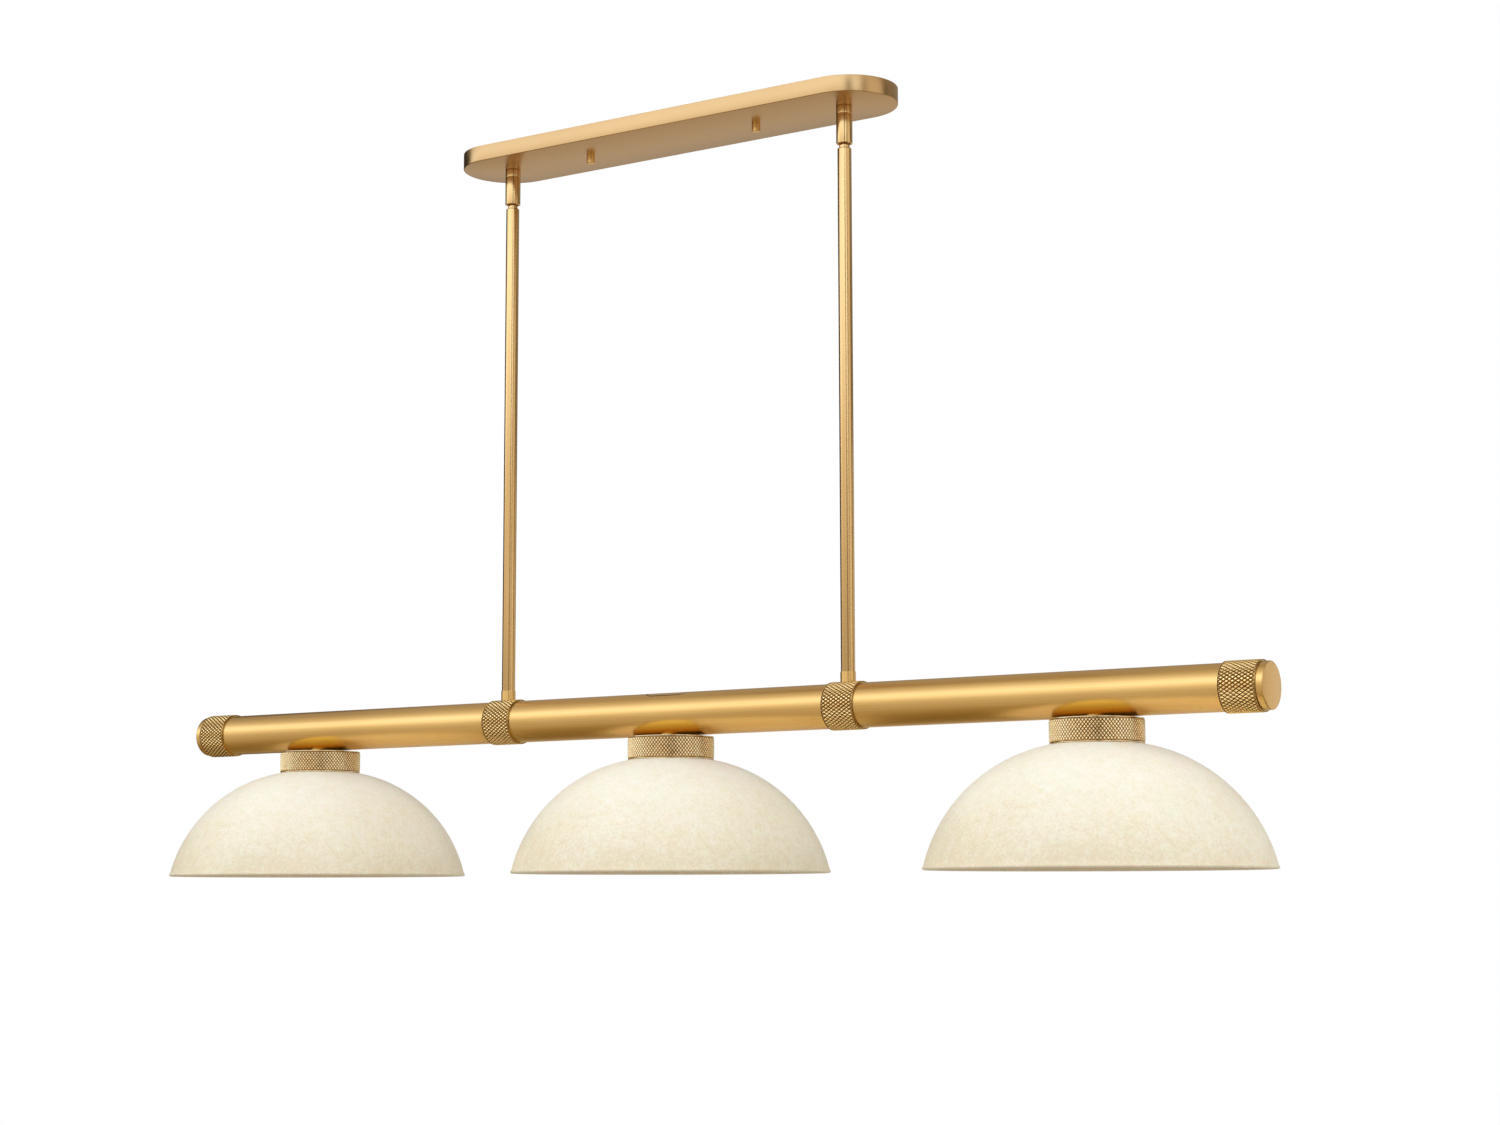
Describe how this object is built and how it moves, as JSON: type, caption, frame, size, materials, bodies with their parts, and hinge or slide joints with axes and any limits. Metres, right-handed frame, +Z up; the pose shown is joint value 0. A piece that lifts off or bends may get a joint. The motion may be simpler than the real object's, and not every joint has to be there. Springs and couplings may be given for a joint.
{
  "type": "billiard light",
  "caption": "Straight ceiling light: slim canopy, rods on ball swivels, and a long tube with knurled rings that carries glass dome shades under knurled collars.",
  "frame": {"origin": "centre of the mounting strap's top face, on the ceiling plane at the middle of the canopy", "axes": "+X along the tube, +Z up to the ceiling, +Y to the back"},
  "size_m": [1.476, 0.3672, 0.8845],
  "materials": {
    "satin_brass": "satin brushed, clear lacquered",
    "knurled_brass": "diamond knurled, worn pale on the points",
    "cream_glass": "opal cream, mottled, glossy outside",
    "zinc_steel": "zinc plated",
    "plain_brass": "turned, plain",
    "white_ceramic": "glazed porcelain",
    "gasket_rubber": "matt silicone",
    "frosted_bulb": "frosted inside, smooth outside",
    "bulb_cap": "rolled thread",
    "lead_jacket": "smooth insulation",
    "connector_plastic": "moulded",
    "green_screw": "dyed zinc plate"
  },
  "bodies": {
    "ceiling_fixing": {"canopy": "satin_brass", "canopy_lead_left": "lead_jacket", "canopy_lead_right": "lead_jacket", "canopy_nipple_nuts": "plain_brass", "canopy_studs": "zinc_steel", "cap_nuts": "satin_brass", "ground_screw": "green_screw", "hanger_collar_left": "satin_brass", "hanger_collar_right": "satin_brass", "mounting_bracket": "zinc_steel", "stud_jam_nuts": "zinc_steel", "swivel_sleeve_left": "satin_brass", "swivel_sleeve_right": "satin_brass", "wire_connectors": "connector_plastic"},
    "hanging_frame": {"ball_stem_left": "satin_brass", "ball_stem_right": "satin_brass", "bulb_base_centre": "bulb_cap", "bulb_base_left": "bulb_cap", "bulb_base_right": "bulb_cap", "bulb_glass_centre": "frosted_bulb", "bulb_glass_left": "frosted_bulb", "bulb_glass_right": "frosted_bulb", "centre_contacts": "plain_brass", "clamp_ring_centre": "plain_brass", "clamp_ring_left": "plain_brass", "clamp_ring_right": "plain_brass", "down_rod_left": "satin_brass", "down_rod_right": "satin_brass", "end_cap_left": "satin_brass", "end_cap_right": "satin_brass", "end_ring_left": "knurled_brass", "end_ring_right": "knurled_brass", "glass_shade_centre": "cream_glass", "glass_shade_left": "cream_glass", "glass_shade_right": "cream_glass", "lamp_holder_centre": "white_ceramic", "lamp_holder_left": "white_ceramic", "lamp_holder_right": "white_ceramic", "lamp_lead_centre": "lead_jacket", "lamp_lead_left": "lead_jacket", "lamp_lead_right": "lead_jacket", "lamp_nipple_nuts": "plain_brass", "lamp_nipples": "plain_brass", "main_tube": "satin_brass", "middle_ring_left": "knurled_brass", "middle_ring_right": "knurled_brass", "rod_coupling_left": "satin_brass", "rod_coupling_right": "satin_brass", "rod_nipple_nuts": "plain_brass", "rod_nipples": "plain_brass", "saddle_washers": "plain_brass", "shade_collar_centre": "knurled_brass", "shade_collar_left": "knurled_brass", "shade_collar_right": "knurled_brass", "shade_gaskets": "gasket_rubber", "slot_cover": "satin_brass", "socket_shell_centre": "plain_brass", "socket_shell_left": "plain_brass", "socket_shell_right": "plain_brass"}
  },
  "joints": [
    {"name": "frame_swing", "type": "hinge", "parent": "ceiling_fixing", "child": "hanging_frame", "pos_m": [0, 0, -0.056], "axis": [1, 0, 0], "range_deg": [-15, 15]}
  ]
}
